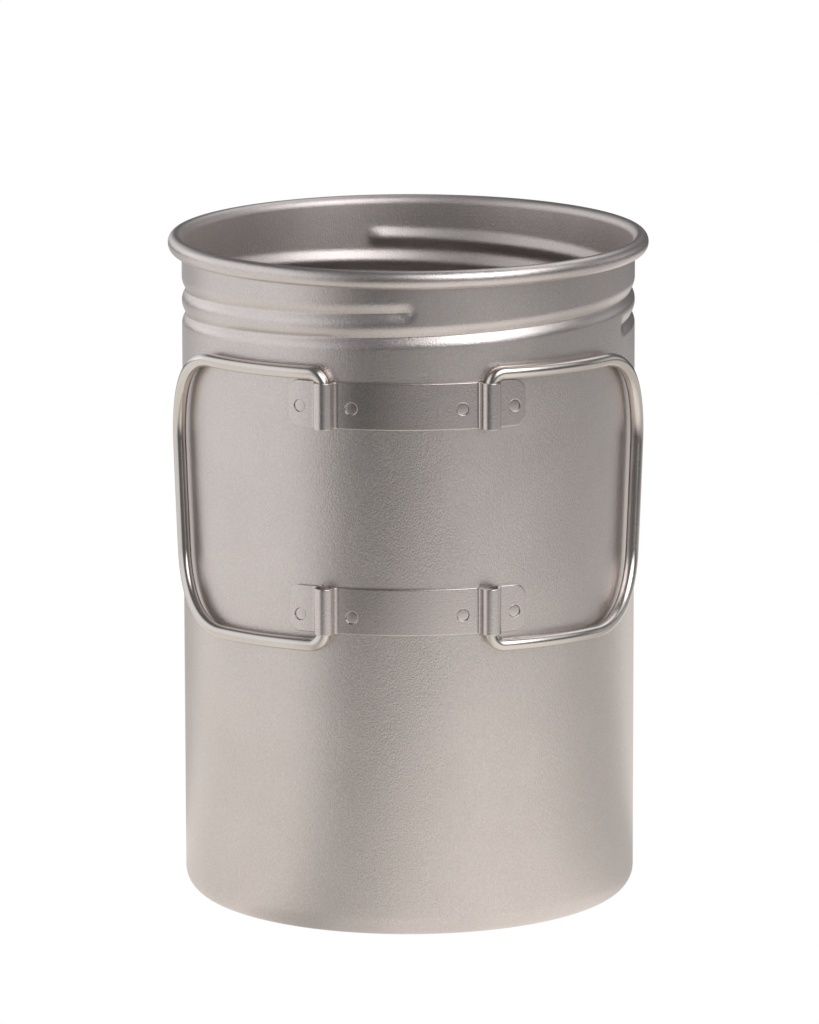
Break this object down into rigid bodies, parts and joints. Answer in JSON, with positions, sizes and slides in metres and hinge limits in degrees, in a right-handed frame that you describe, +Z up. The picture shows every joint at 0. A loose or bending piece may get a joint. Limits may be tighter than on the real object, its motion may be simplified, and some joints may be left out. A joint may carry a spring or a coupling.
{
  "type": "camping cook pot",
  "caption": "Tall cylindrical camping pot of thin titanium with a rolled rim, a pressed screw thread for a lid, and wire handles that fold flat against the wall.",
  "frame": {"origin": "centre of the underside of the base", "axes": "+Z up through the mouth; -Y towards the side that carries the handle brackets; +X to the right of a person who looks at the brackets"},
  "size_m": [0.1018, 0.1018, 0.1421],
  "materials": {
    "body_titanium": "bare drawn titanium, bead-blasted to a fine satin grain",
    "strap_titanium": "bare titanium strip, satin, with brighter bent edges",
    "wire_titanium": "bare titanium wire, smooth, half gloss",
    "weld_mark": "pressed spot-weld mark, slightly darker satin"
  },
  "bodies": {
    "pot": {"pot_body": "body_titanium", "upper_bracket": "strap_titanium", "lower_bracket": "strap_titanium", "weld_upper_left_outer": "weld_mark", "weld_upper_left_inner": "weld_mark", "weld_upper_right_inner": "weld_mark", "weld_upper_right_outer": "weld_mark", "weld_lower_left_outer": "weld_mark", "weld_lower_left_inner": "weld_mark", "weld_lower_right_inner": "weld_mark", "weld_lower_right_outer": "weld_mark"},
    "left_handle": {"left_handle": "wire_titanium"},
    "right_handle": {"right_handle": "wire_titanium"}
  },
  "joints": [
    {"name": "left_handle_hinge", "type": "hinge", "parent": "pot", "child": "left_handle", "pos_m": [-0.01737, -0.04646, 0.0913], "axis": [0, 0, 1], "range_deg": [-0.5, 154]},
    {"name": "right_handle_hinge", "type": "hinge", "parent": "pot", "child": "right_handle", "pos_m": [0.01737, -0.04646, 0.0913], "axis": [0, 0, -1], "range_deg": [-0.5, 154]}
  ]
}
